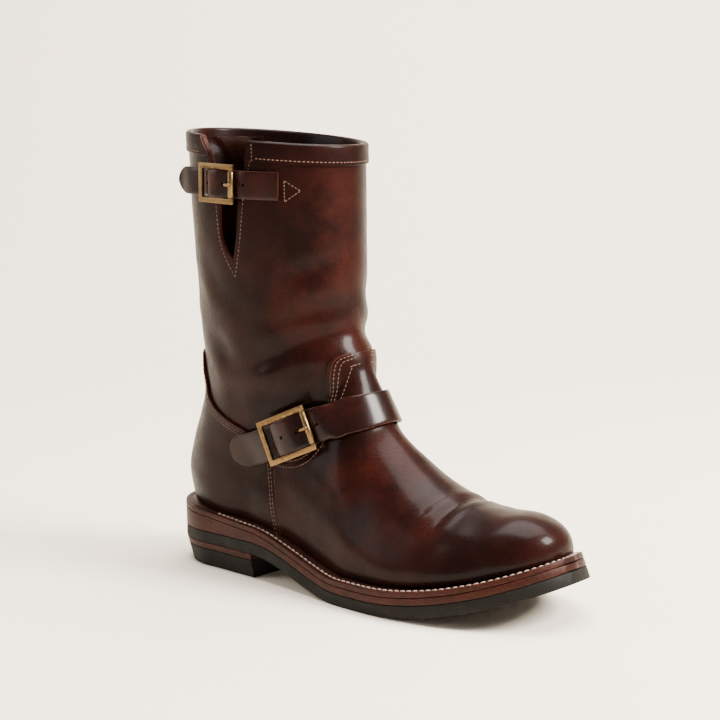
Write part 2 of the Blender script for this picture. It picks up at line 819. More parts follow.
def present(thing: bpy.types.Object, slot: str | None, *nodes: str) -> bpy.types.Object:
    """Put a finished piece on the boot in place of its plain solids.

    Args:
        thing: The piece.
        slot: The record's material slot that it takes its finish from.
        nodes: The solids that it stands for.
    """
    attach(thing, "root")
    if nodes:
        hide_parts(*nodes)
    LOG.info("%s: %d faces", thing.name, len(thing.data.polygons))
    return thing


class Wiring:
    """A material being wired up, with its Principled shader."""

    def __init__(self, name: str) -> None:
        """Start a material with a plain name."""
        self.material = bpy.data.materials.new(name)
        self.material.use_nodes = True
        self.tree = self.material.node_tree
        self.shader = self.tree.nodes["Principled BSDF"]

    def node(self, kind: str, inputs: dict[Any, Any] | None = None, **settings: Any) -> Any:
        """Add a node.

        Args:
            kind: The node's type without its prefix.
            inputs: Values or sockets for its inputs, by name or number.
            settings: The node's own settings.

        Returns:
            The node.
        """
        made = self.tree.nodes.new("ShaderNode" + kind)
        for name, value in settings.items():
            setattr(made, name, value)
        for name, value in (inputs or {}).items():
            self.feed(made.inputs[name], value)
        return made

    def feed(self, socket: Any, value: Any) -> None:
        """Give a socket a value, or link one into it."""
        if isinstance(value, bpy.types.NodeSocket):
            self.tree.links.new(value, socket)
        else:
            socket.default_value = value

    def set(self, **values: Any) -> None:
        """Set or link the shader's sockets, with underscores for spaces."""
        for name, value in values.items():
            self.feed(self.shader.inputs[name.replace("_", " ")], value)

    def place(self) -> Any:
        """Return the object's own coordinates."""
        return self.node("TexCoord").outputs["Object"]

    def noise(self, vector: Any, scale: float, detail: float = 3.0, rough: float = 0.55) -> Any:
        """Return a noise value from 0 to 1."""
        inputs = {"Vector": vector, "Scale": scale, "Detail": detail, "Roughness": rough}
        return self.node("TexNoise", inputs).outputs["Fac"]

    def span(self, value: Any, low: float, high: float, to: tuple[float, float] = (0, 1)) -> Any:
        """Return a value mapped smoothly from a range to another."""
        inputs = {"Value": value, "From Min": low, "From Max": high}
        inputs |= {"To Min": to[0], "To Max": to[1]}
        return self.node("MapRange", inputs, interpolation_type="SMOOTHSTEP").outputs[0]

    def maths(self, operation: str, a: Any, b: Any = 0.0) -> Any:
        """Return a sum, product or other result of two values."""
        return self.node("Math", {0: a, 1: b}, operation=operation).outputs[0]

    def mix(self, share: Any, a: Any, b: Any) -> Any:
        """Return a colour mixed from two by a share."""
        made = self.tree.nodes.new("ShaderNodeMix")
        made.data_type = "RGBA"
        for number, value in ((0, share), (6, a), (7, b)):
            ready = (*value, 1.0) if isinstance(value, tuple) and len(value) == 3 else value
            self.feed(made.inputs[number], ready)
        return made.outputs[2]

    def stretched(self, vector: Any, scale: tuple[float, float, float], turn: float = 0.0) -> Any:
        """Return coordinates stretched along the axes and turned about Y."""
        inputs = {"Vector": vector, "Scale": scale, "Rotation": (0.0, turn, 0.0)}
        return self.node("Mapping", inputs).outputs[0]

    def patch(self, vector: Any, spots: Sequence["Spot"]) -> Any:
        """Return a mask that is 1 inside soft spots."""
        total: Any = 0.0
        for spot in spots:
            centre = (float(FORM.at(spot.share)), spot.across, spot.height * FORM.instep_height)
            inputs = {0: vector, 1: centre}
            far = self.node("VectorMath", inputs, operation="DISTANCE").outputs["Value"]
            near = self.span(far, spot.radius, spot.radius * 0.15, (0.0, spot.weight))
            total = self.maths("MAXIMUM", total, near)
        return total

    def bump(self, height: Any, depth: float, below: Any = None) -> Any:
        """Return a normal bumped by a height, on top of another."""
        inputs = {"Height": height, "Strength": 1.0, "Distance": depth}
        if below is not None:
            inputs["Normal"] = below
        return self.node("Bump", inputs).outputs[0]


class Spot(NamedTuple):
    """A soft patch on the leather: side-view place, distance across, radius and weight."""

    share: float
    height: float
    across: float
    radius: float
    weight: float


RED_SPOTS = (
    Spot(0.460, 1.93, -0.010, 0.040, 0.75),
    Spot(0.450, 1.62, -0.020, 0.046, 1.00),
    Spot(0.400, 1.42, -0.034, 0.034, 0.70),
    Spot(0.360, 1.60, -0.042, 0.024, 0.45),
    Spot(0.470, 1.30, 0.000, 0.034, 0.80),
    Spot(0.500, 0.58, -0.036, 0.030, 0.95),
    Spot(0.580, 0.66, -0.020, 0.036, 0.90),
    Spot(0.640, 0.48, -0.034, 0.030, 0.60),
    Spot(0.720, 0.42, -0.034, 0.022, 0.40),
    Spot(0.570, 0.34, -0.044, 0.022, 0.45),
    Spot(0.410, 0.42, -0.038, 0.018, 0.30),
    Spot(0.300, 1.70, 0.045, 0.045, 0.70),
    Spot(0.420, 1.30, 0.040, 0.040, 0.60),
    Spot(0.560, 0.60, 0.034, 0.036, 0.80),
    Spot(0.700, 0.42, 0.034, 0.030, 0.50),
    Spot(0.140, 0.60, 0.030, 0.030, 0.40),
)


@dataclass(frozen=True)
class LeatherFinish:
    """Waxed leather that pulls up red where it bends."""

    name: str
    deep: Colour = (0.0062, 0.0014, 0.0010)
    warm: Colour = (0.0130, 0.0028, 0.0018)
    red: Colour = (0.0240, 0.0040, 0.0023)
    spots: tuple[Spot, ...] = RED_SPOTS
    roughness: tuple[float, float] = (0.30, 0.44)
    gloss: float = 0.03
    grain: float = 0.00013
    wrinkle: float = 0.00042
    coat: float = 0.10
    coat_roughness: float = 0.20

    def make(self) -> bpy.types.Material:
        """Return the material."""
        w = Wiring(self.name)
        place = w.place()
        clouds = w.noise(place, 26.0, 5.0, 0.6)
        small = w.noise(place, 110.0, 4.0, 0.6)
        base = w.mix(w.span(clouds, 0.36, 0.66), self.deep, self.warm)
        broken = w.maths("MULTIPLY", w.patch(place, self.spots), w.span(clouds, 0.34, 0.60))
        mottled = w.maths("MULTIPLY", broken, w.span(small, 0.25, 0.62, (0.45, 1.0)))
        colour = w.mix(mottled, base, self.red)
        scuffs = w.noise(w.stretched(place, (1.0, 1.0, 5.0), 0.7), 95.0, 6.0, 0.7)
        colour = w.mix(w.span(scuffs, 0.66, 0.84, (0.0, 0.22)), colour, (0.06, 0.020, 0.013))
        rough = w.span(small, 0.25, 0.75, self.roughness)
        pores = w.node("TexVoronoi", {"Vector": place, "Scale": 1150.0}, feature="SMOOTH_F1")
        lines = w.noise(w.stretched(place, (1.0, 1.0, 3.2), 0.35), 210.0, 5.0, 0.6)
        bent = w.patch(place, FINE_WRINKLES)
        creased = w.maths("MULTIPLY", lines, w.maths("ADD", bent, 0.16))
        normal = w.bump(creased, self.wrinkle)
        normal = w.bump(w.noise(place, 420.0, 4.0, 0.65), self.grain * 1.1, normal)
        normal = w.bump(pores.outputs["Distance"], self.grain, normal)
        w.set(Base_Color=colour, Roughness=rough, Normal=normal, Specular_IOR_Level=self.gloss)
        w.set(Coat_Weight=self.coat, Coat_Roughness=self.coat_roughness)
        return w.material


FINE_WRINKLES = (
    Spot(0.450, 1.92, -0.012, 0.030, 1.0),
    Spot(0.450, 1.70, -0.014, 0.026, 1.0),
    Spot(0.450, 1.38, -0.014, 0.034, 1.0),
    Spot(0.360, 1.62, -0.040, 0.020, 0.6),
    Spot(0.585, 0.68, -0.012, 0.030, 0.7),
    Spot(0.740, 0.50, 0.000, 0.030, 0.6),
    Spot(0.130, 1.38, -0.020, 0.036, 0.5),
    Spot(0.130, 1.38, 0.030, 0.036, 0.7),
    Spot(0.440, 1.30, 0.030, 0.036, 0.9),
)


@dataclass(frozen=True)
class EdgeFinish:
    """Cut or dressed leather edge with fine fibre lines."""

    name: str
    dark: Colour
    light: Colour
    roughness: float = 0.5
    fibre: float = 0.00012

    def make(self) -> bpy.types.Material:
        """Return the material."""
        w = Wiring(self.name)
        place = w.place()
        fibres = w.noise(w.stretched(place, (1.0, 1.0, 6.0)), 260.0, 5.0, 0.65)
        blotch = w.noise(place, 60.0, 4.0, 0.6)
        share = w.maths("MULTIPLY", w.span(fibres, 0.3, 0.7), w.span(blotch, 0.25, 0.7, (0.4, 1.0)))
        w.set(Base_Color=w.mix(share, self.dark, self.light), Normal=w.bump(fibres, self.fibre))
        w.set(Roughness=self.roughness, Specular_IOR_Level=0.12)
        return w.material


@dataclass(frozen=True)
class RubberFinish:
    """Near-black rubber with a fine moulded skin and dust."""

    name: str
    dark: Colour = (0.0050, 0.0043, 0.0034)
    dust: Colour = (0.0200, 0.0160, 0.0120)
    roughness: tuple[float, float] = (0.52, 0.72)

    def make(self) -> bpy.types.Material:
        """Return the material."""
        w = Wiring(self.name)
        place = w.place()
        cloud = w.noise(place, 55.0, 5.0, 0.65)
        fine = w.noise(place, 900.0, 3.0, 0.6)
        height = w.node("SeparateXYZ", {0: place}).outputs[2]
        low = w.span(height, 0.010, 0.0, (0.15, 0.75))
        share = w.maths("MULTIPLY", w.span(cloud, 0.45, 0.75), low)
        w.set(Base_Color=w.mix(share, self.dark, self.dust), Normal=w.bump(fine, 0.00008))
        w.set(Roughness=w.span(cloud, 0.3, 0.7, self.roughness), Specular_IOR_Level=0.12)
        return w.material


@dataclass(frozen=True)
class BrassFinish:
    """Antiqued brass: dark in the hollows, rubbed bright on top."""

    name: str
    dark: Colour = (0.034, 0.019, 0.009)
    bright: Colour = (0.145, 0.090, 0.039)
    roughness: tuple[float, float] = (0.26, 0.42)

    def make(self) -> bpy.types.Material:
        """Return the material."""
        w = Wiring(self.name)
        place = w.place()
        cloud = w.noise(place, 330.0, 5.0, 0.65)
        brushed = w.noise(w.stretched(place, (1.0, 1.0, 8.0), 0.3), 700.0, 3.0, 0.6)
        rubbed = w.node("NewGeometry").outputs["Pointiness"]
        worn = w.maths("ADD", w.span(cloud, 0.25, 0.75), w.span(rubbed, 0.51, 0.56))
        share = w.maths("MINIMUM", worn, 1.0)
        w.set(Base_Color=w.mix(share, self.dark, self.bright), Metallic=1.0)
        w.set(Roughness=w.span(cloud, 0.3, 0.7, self.roughness[::-1]))
        w.set(Normal=w.bump(brushed, 0.00003))
        return w.material


@dataclass(frozen=True)
class ThreadFinish:
    """Twisted waxed thread."""

    name: str
    colour: Colour
    shade: Colour

    def make(self) -> bpy.types.Material:
        """Return the material."""
        w = Wiring(self.name)
        place = w.place()
        twist = w.noise(place, 1800.0, 2.0, 0.5)
        dirt = w.noise(place, 90.0, 4.0, 0.6)
        share = w.maths("MULTIPLY", w.span(twist, 0.3, 0.7), w.span(dirt, 0.3, 0.6, (0.35, 1.0)))
        w.set(Base_Color=w.mix(share, self.shade, self.colour), Normal=w.bump(twist, 0.0001))
        w.set(Roughness=0.62)
        return w.material


@dataclass(frozen=True)
class StudioFinish:
    """Plain pale surface of the studio."""

    name: str
    colour: Colour = (0.91, 0.81, 0.68)

    def make(self) -> bpy.types.Material:
        """Return the material."""
        w = Wiring(self.name)
        w.set(Base_Color=(*self.colour, 1.0), Roughness=0.95, Specular_IOR_Level=0.1)
        return w.material


class Palette:
    """The boot's materials, each made once."""

    def __init__(self) -> None:
        """Make every finish."""
        self.leather = LeatherFinish("upper_leather").make()
        self.strap = LeatherFinish(
            "strap_leather",
            red=(0.042, 0.0068, 0.0038),
            spots=STRAP_SPOTS,
            roughness=(0.27, 0.38),
            wrinkle=0.00008,
            coat=0.28,
        ).make()
        self.lining = LeatherFinish(
            "lining_leather",
            deep=(0.030, 0.011, 0.007),
            warm=(0.060, 0.022, 0.014),
            spots=(),
            roughness=(0.5, 0.7),
            coat=0.0,
        ).make()
        self.insole = LeatherFinish(
            "insole_leather",
            deep=(0.200, 0.105, 0.058),
            warm=(0.290, 0.165, 0.095),
            spots=(),
            roughness=(0.5, 0.72),
            coat=0.0,
        ).make()
        self.band = LeatherFinish(
            "collar_leather",
            deep=(0.0055, 0.0014, 0.0010),
            warm=(0.0120, 0.0028, 0.0020),
            spots=(),
            roughness=(0.36, 0.50),
        ).make()
        self.edge = EdgeFinish("cut_edge", (0.018, 0.0042, 0.0026), (0.080, 0.0170, 0.0085)).make()
        self.welt = EdgeFinish(
            "dressed_edge", dark=(0.010, 0.0024, 0.0014), light=(0.052, 0.0100, 0.0046)
        ).make()
        self.groove = EdgeFinish(
            "seam_groove", dark=(0.006, 0.003, 0.0025), light=(0.014, 0.006, 0.004)
        ).make()
        self.rubber = RubberFinish("sole_rubber").make()
        self.brass = BrassFinish("antique_brass").make()
        self.pale = ThreadFinish("pale_thread", (0.62, 0.48, 0.39), (0.26, 0.16, 0.12)).make()
        self.tan = ThreadFinish("tan_thread", (0.19, 0.090, 0.052), (0.06, 0.026, 0.016)).make()
        self.dark = ThreadFinish(
            "brown_thread", colour=(0.130, 0.058, 0.036), shade=(0.030, 0.012, 0.008)
        ).make()


STRAP_SPOTS = (
    Spot(0.380, 0.78, -0.044, 0.014, 1.0),
    Spot(0.470, 0.93, -0.018, 0.022, 0.5),
    Spot(0.225, 2.06, -0.052, 0.014, 0.9),
    Spot(0.330, 2.04, -0.050, 0.016, 0.3),
)


THREAD_SIDES = 6
STITCH_STOPS = (-1.0, -0.78, -0.3, 0.3, 0.78, 1.0)


class Needle:
    """Rows of stitches laid on the skin or on the welt."""

    def __init__(self, name: str, thread: bpy.types.Material) -> None:
        """Start an empty set of rows in one thread."""
        self.name, self.thread = name, thread
        self.points: list[Array] = []
        self.faces: list[tuple[int, ...]] = []
        self.count = 0

    def tube(self, rings: Array) -> None:
        """Add a closed tube from its rings of points."""
        count, sides = rings.shape[:2]
        self.points.append(rings.reshape(-1, 3))
        for k in range(count - 1):
            a, b = self.count + k * sides, self.count + (k + 1) * sides
            for i in range(sides):
                j = (i + 1) % sides
                self.faces.append((a + i, a + j, b + j, b + i))
        last = self.count + (count - 1) * sides
        self.faces.append(tuple(self.count + i for i in range(sides - 1, -1, -1)))
        self.faces.append(tuple(last + i for i in range(sides)))
        self.count += count * sides

    def row(self, line: Array, normals: Array, pitch: float, size: tuple[float, float]) -> None:
        """Lay a row of stitches.

        Args:
            line: Points of the row, on the surface.
            normals: The surface's normal at each of them.
            pitch: Distance from stitch to stitch.
            size: A stitch's length and thickness.
        """
        place, way = along_line(line, pitch)
        run = np.concatenate([[0], np.cumsum(np.linalg.norm(np.diff(line, axis=0), axis=1))])
        count = len(place)
        at = (np.arange(count) + 0.5) * run[-1] / count
        up = unit(np.stack([np.interp(at, run, normals[:, k]) for k in range(3)], axis=1))
        side = unit(np.cross(way, up))
        turn = np.arange(THREAD_SIDES) / THREAD_SIDES * 2 * math.pi
        for p, w, u, s in zip(place, way, up, side):
            rings = []
            for stop in STITCH_STOPS:
                radius = size[1] / 2 * math.sqrt(max(0.04, 1 - stop**4))
                sink = -size[1] * 0.34 * stop**4
                spine = p + w * stop * size[0] / 2 + u * (sink + size[1] * 0.12)
                spoke = s[None] * np.cos(turn)[:, None] + u[None] * np.sin(turn)[:, None] * 0.8
                rings.append(spine + spoke * radius)
            self.tube(np.array(rings))

    def line(self, line: Array, normals: Array, radius: float) -> None:
        """Lay one thin unbroken cord along a line.

        Args:
            line: Points of the cord's middle.
            normals: The surface's normal at each of them.
            radius: The cord's radius.
        """
        way = unit(np.gradient(line, axis=0))
        up = unit(normals - way * (normals * way).sum(-1, keepdims=True))
        side = np.cross(way, up)
        turn = np.arange(THREAD_SIDES) / THREAD_SIDES * 2 * math.pi
        spokes = side[:, None] * np.cos(turn)[:, None] + up[:, None] * np.sin(turn)[:, None]
        self.tube(line[:, None] + spokes * radius)

    def seam(
        self,
        view: Array,
        out: float,
        pitch: float,
        size: tuple[float, float],
        sides: Sequence[Side] = (Side.OUTER, Side.INNER),
    ) -> None:
        """Lay a row along a side-view line on the boot's skin.

        Args:
            view: The line's x and z.
            out: Height of the surface above the form's skin.
            pitch: Distance from stitch to stitch, or 0 for an unbroken cord.
            size: A stitch's length and thickness.
            sides: The sides of the boot that carry the row.
        """
        x, z = view[:, 0], view[:, 1]
        keep = FORM.section(x, z)[0] > 0.001
        for side in sides:
            line = FORM.skin(x[keep], z[keep], side.value, out)
            normals = FORM.normal(x[keep], z[keep], side.value)
            if pitch:
                self.row(line, normals, pitch, size)
            else:
                self.line(line, normals, size[1] / 2)

    def finish(self) -> bpy.types.Object:
        """Return the stitches as one piece on the boot."""
        points = np.concatenate(self.points)
        mesh = bpy.data.meshes.new(self.name)
        mesh.from_pydata(points.tolist(), [], self.faces)
        mesh.materials.append(self.thread)
        mesh.update()
        thing = bpy.data.objects.new(self.name, mesh)
        bpy.context.scene.collection.objects.link(thing)
        return present(smooth(thing, 80.0), None)


def seam_view(rows: Sequence[SeamPoint], inset: float = 0.0, steps: int = 10) -> Array:
    """Return a seam's side-view line, moved to its right by an inset."""
    corners = [(float(FORM.at(r.share)), r.height * FORM.instep_height) for r in rows]
    line = curve_through(corners, steps)
    ahead = unit(np.gradient(line, axis=0))
    return line + np.stack([ahead[:, 1], -ahead[:, 0]], axis=1) * inset


@dataclass
class Upper:
    """The leather pieces of the upper: shaft, vamp, counter, collar band and gusset."""

    palette: Palette
    band_height: float = 0.0112
    band_thick: float = 0.0013
    gusset_thick: float = 0.0012
    gusset_least: float = 0.021
    gusset_depth: float = 0.011
    gusset_top: float = 1.03
    gusset_sink: float = 0.9
    skirt: float = 0.004
    seam_hidden: int = 4
    seam_steps: int = 4
    top_steps: int = 5
    pitch: float = 0.0027
    stitch: tuple[float, float] = (0.0020, 0.00075)
    cord: tuple[float, float] = (0.0, 0.0009)
    groove_sink: float = 0.00034
    edge_sink: float = 0.0003
    counter_insets: tuple[float, ...] = (0.0022, 0.0042)
    vamp_insets: tuple[float, ...] = (0.0018, 0.0038, 0.0078)
    slit_margin: float = 0.0036
    slit_meet: tuple[float, float] = (0.0012, -0.0115)
    band_inset: float = 0.0022
    band_end: float = 0.0030
    band_stitch: tuple[float, float] = (0.0019, 0.0006)
    end_pitch: float = 0.0024
    end_stitch: tuple[float, float] = (0.0017, 0.0006)

    def closed_form(self, out: float) -> bpy.types.Object:
        """Return the form as a solid at an offset, closed below and at the collar."""
        grid, shut = FORM.grid(out)
        drop = np.where(shut, 0.0, self.skirt)[:, None] * np.array([0, 0, 1.0])
        ends = [(grid[:, 0] - drop)[:, None], grid, (grid[:, -1] - drop)[:, None]]
        grid = np.concatenate(ends, axis=1)
        rows, columns = grid.shape[:2]
        faces = grid_faces(rows, columns)
        for i in range(rows - 1):
            if not shut[i]:
                a, b = i * columns, (i + 1) * columns
                faces.append((a, b, b + columns - 1, a + columns - 1))
        top, half = (rows - 1) * columns, (columns - 1) // 2
        for j in range(half):
            faces.append((top + j, top + j + 1, top + columns - 2 - j, top + columns - 1 - j))
        looks = [self.palette.leather, self.palette.edge]
        return solid("form", grid.reshape(-1, 3), faces, looks)

    def prism(self, view: Any, low: float = -0.4, high: float = 0.4) -> bpy.types.Object:
        """Return a side-view outline drawn out across the boot, in the edge's finish."""
        view = np.asarray(view)
        count = len(view)
        points = [(x, y, z) for y in (low, high) for x, z in view]
        faces = [tuple(range(count)), tuple(range(2 * count - 1, count - 1, -1))]
        faces += [(i, (i + 1) % count, count + (i + 1) % count, count + i) for i in range(count)]
        looks = [self.palette.leather, self.palette.edge]
        return solid("prism", points, faces, looks, 1)

    def slit(self, grow: float = 0.0) -> bpy.types.Object:
        """Return the slit as a prism through the shaft's outer side."""
        _, z = FORM.slit_tip()
        heights = np.linspace(z - grow, z + FORM.slit_depth * 1.28, 40)
        back, front = FORM.slit_edges(heights)
        there = np.stack([back - grow, heights], axis=1)
        again = np.stack([front + grow, heights], axis=1)[::-1]
        return self.prism(np.concatenate([there, again]), -0.4, 0.0)

    def shaft(self) -> None:
        """Build the hollow upper with its slit."""
        outside, shut = FORM.grid(0.0)
        inside, _ = FORM.grid(-FORM.wall)
        rows, columns = outside.shape[:2]
        count = rows * columns
        faces = grid_faces(rows, columns)
        slots = [0] * len(faces)
        faces += [tuple(reversed(f)) for f in grid_faces(rows, columns, count)]
        slots += [2] * (len(faces) - len(slots))
        for j in range(columns - 1):
            a = (rows - 1) * columns + j
            faces.append((a, a + 1, count + a + 1, count + a))
        for i in range(rows - 1):
            for j in (0, columns - 1):
                if not shut[i]:
                    a, b = i * columns + j, (i + 1) * columns + j
                    faces.append((a, b, count + b, count + a))
        slots += [1] * (len(faces) - len(slots))
        points = np.concatenate([outside.reshape(-1, 3), inside.reshape(-1, 3)])
        looks = [self.palette.leather, self.palette.edge, self.palette.lining]
        shaft = solid("shaft", points, faces, looks, slots)
        present(smooth(cut(shaft, self.slit())), "leather", "upper")

    def overlay(self, name: str, node: str, view: Any) -> None:
        """Build a piece lying on the upper inside a side-view outline."""
        piece = cut(self.closed_form(FORM.gap + FORM.overlay), self.prism(view), "INTERSECT")
        cut(piece, self.closed_form(FORM.gap))
        piece.name = piece.data.name = name
        present(smooth(piece), "leather", node)

    def feather_view(self, first: float, last: float) -> Array:
        """Return side-view points just above the welt."""
        x = np.linspace(first, last, 60)
        return np.stack([x, FORM.feather(x) + FORM.gap], axis=1)

    def panel(self, slide: float, far: float, rows: Sequence[SeamPoint]) -> Array:
        """Return a panel's side-view outline, from the welt up the side seam and along its top.

        The side seam's first points lie under the welt's line, so they are left out.

        Args:
            slide: How far forwards of the side seam the panel starts.
            far: An x beyond the panel's other end.
            rows: The panel's top edge.
        """
        seam = seam_view(SIDE_SEAM, 0.0, self.seam_steps) + np.array([slide, 0.0])
        top = seam_view(rows, 0.0, self.top_steps)
        base = self.feather_view(far, seam[0, 0])
        close = np.array([[far, top[-1, 1]]])
        return np.concatenate([base, seam[self.seam_hidden :], top, close])

    def counter(self) -> None:
        """Build the heel counter with its tail up the back."""
        view = self.panel(0.0, FORM.heel_back - 0.02, COUNTER_TOP)
        self.overlay("heel_counter", "counter", view)

    def vamp(self) -> None:
        """Build the vamp with its tab up the instep."""
        view = self.panel(2 * FORM.gap, float(FORM.at(1.05)), VAMP_TOP)
        self.overlay("vamp_leather", "vamp", view)

    def band(self) -> None:
        """Build the band folded over the collar's edge."""
        near, far = FORM.gap, FORM.gap + self.band_thick
        wall, low = -FORM.wall, -self.band_height
        inner = wall - far
        turn = np.linspace(0, math.pi, 11)
        middle, reach = (far + inner) / 2, (far - inner) / 2
        profile = [(low, near), (low + 0.0001, far - 0.0004), (low + 0.0005, far)]
        profile += [(low * 0.45, far)]
        profile += [(far * math.sin(t) * 1.1, middle + reach * math.cos(t)) for t in turn]
        profile += [(low * 0.7, inner - near), (low * 0.7, wall - 2 * near)]
        profile += [(near, wall - near), (near, near)]
        loops = []
        for rise, out in profile:
            loop = FORM.collar_ring(max(-rise, 0.0), out)
            loop[:, 2] += max(rise, 0.0)
            loops.append(loop)
        looks = [self.palette.band, self.palette.edge]
        band = solid("collar_binding", np.concatenate(loops), ring_faces(loops), looks)
        present(smooth(cut(band, self.slit(2 * FORM.gap))), "leather", "collar_band")

    def gusset(self) -> None:
        """Build the folded gusset behind the slit."""
        _, tip = FORM.slit_tip()
        loops = []
        for share in np.linspace(0.0, self.gusset_top, 26):
            height = tip + FORM.slit_depth * share
            back, front = FORM.slit_edges(np.array([height]))
            opening = float(front[0] - back[0])
            width = max(opening, self.gusset_least)
            begin = float(front[0] + back[0] - width) / 2
            depth = self.gusset_depth * max(width / FORM.slit_width, 0.8)
            bulge = float(np.clip((opening - self.gusset_least) / self.gusset_least, 0, 1))
            sunk = self.gusset_sink * (1 - bulge)
            folds = []
            for fold in GUSSET_FOLDS:
                pushed = fold.depth * (bulge if fold.depth < 0 else 1.0)
                inwards = pushed + (sunk if -0.2 < fold.across < 0.95 else 0.0)
                folds.append((begin + width * fold.across, depth * inwards))
            path = curve_through(folds, 6)
            ahead = unit(np.gradient(path, axis=0))
            square = np.stack([-ahead[:, 1], ahead[:, 0]], axis=1) * self.gusset_thick / 2
            row = np.concatenate([path + square, (path - square)[::-1]])
            inside = FORM.wall + self.band_thick + 3 * FORM.gap + self.gusset_thick / 2
            z = np.full(len(row), height)
            face = -FORM.half_width(row[:, 0], z, -1) + inside
            loops.append(np.stack([row[:, 0], face + row[:, 1], z], axis=-1))
        profile = np.array(loops).transpose(1, 0, 2)
        faces = sweep_faces(*profile.shape[:2])
        gusset = solid("gusset_leather", profile.reshape(-1, 3), faces, [self.palette.leather])
        present(gusset, "leather", "slit_gusset")

    def overlay_seams(self) -> None:
        """Lay the stitches, grooves and cut edges of the counter and the vamp."""
        over = FORM.gap + FORM.overlay
        sunk = over - self.groove_sink
        dark = Needle("counter_stitches", self.palette.dark)
        vamp = Needle("vamp_stitches", self.palette.dark)
        edges = Needle("overlay_edges", self.palette.edge)
        grooves = Needle("seam_grooves", self.palette.groove)
        for inset in self.counter_insets:
            for rows in (COUNTER_TOP, SIDE_SEAM):
                dark.seam(seam_view(rows, -inset), over, self.pitch, self.stitch)
                grooves.seam(seam_view(rows, -inset), sunk, 0.0, self.cord)
        for inset in self.vamp_insets:
            vamp.seam(seam_view(VAMP_TOP[:-1], inset), over, self.pitch, self.stitch)
            grooves.seam(seam_view(VAMP_TOP[:-1], inset), sunk, 0.0, self.cord)
        for rows, inset in ((COUNTER_TOP, -0.0003), (VAMP_TOP[:-1], 0.0003), (SIDE_SEAM, 0.0007)):
            edges.seam(seam_view(rows, inset), over - self.edge_sink, 0.0, self.cord)
        for piece in (dark, vamp, edges, grooves):
            piece.finish()

    def slit_seam(self) -> None:
        """Lay the stitches that meet below the slit."""
        slit = Needle("slit_stitches", self.palette.dark)
        _, tip = FORM.slit_tip()
        heights = np.linspace(tip + FORM.slit_depth - self.band_height, tip - 0.001, 40)
        back, front = FORM.slit_edges(heights)
        end = (float(FORM.at(FORM.slit_centre)) + self.slit_meet[0], tip + self.slit_meet[1])
        fade = np.linspace(0, 1, 40) ** 4
        for edge in (back - self.slit_margin, front + self.slit_margin):
            x = edge * (1 - fade) + end[0] * fade
            z = heights * (1 - fade) + end[1] * fade
            view = np.stack([x, z], axis=1)
            slit.seam(view, 0.0, self.pitch, self.stitch, [Side.OUTER])
        slit.finish()

    def collar_seams(self) -> None:
        """Lay the stitches under the collar band and up its end in front of the slit."""
        _, tip = FORM.slit_tip()
        tan = Needle("collar_stitches", self.palette.tan)
        ring = FORM.collar_ring(self.band_height - self.band_inset, FORM.gap + self.band_thick)
        ring = np.concatenate([ring, ring[:1]])
        normals = unit((ring - ring.mean(0)) * np.array([1.0, 1.6, 0.0]))
        back, front = FORM.slit_edges(np.array([tip + FORM.slit_depth]))
        low, high = float(back[0]) - self.band_end, float(front[0]) + self.band_end
        open_here = (ring[:, 1] < 0) & (ring[:, 0] > low) & (ring[:, 0] < high)
        start = int(np.argmax(open_here))
        order = np.roll(np.arange(len(ring) - 1), -start)
        order = order[~open_here[order]]
        tan.row(ring[order], normals[order], self.pitch, self.band_stitch)
        tan.finish()
        upright = Needle("collar_end_stitches", self.palette.dark)
        x = high
        top = float(FORM.collar(x))
        view = np.linspace((x, top), (x, top - self.band_height), 12)
        band_out = FORM.gap + self.band_thick
        upright.seam(view, band_out, self.end_pitch, self.end_stitch, [Side.OUTER])
        upright.finish()

    def build(self) -> None:
        """Build and dress every piece of the upper."""
        self.shaft()
        self.counter()
        self.vamp()
        self.band()
        self.gusset()
        self.overlay_seams()
        self.slit_seam()
        self.collar_seams()


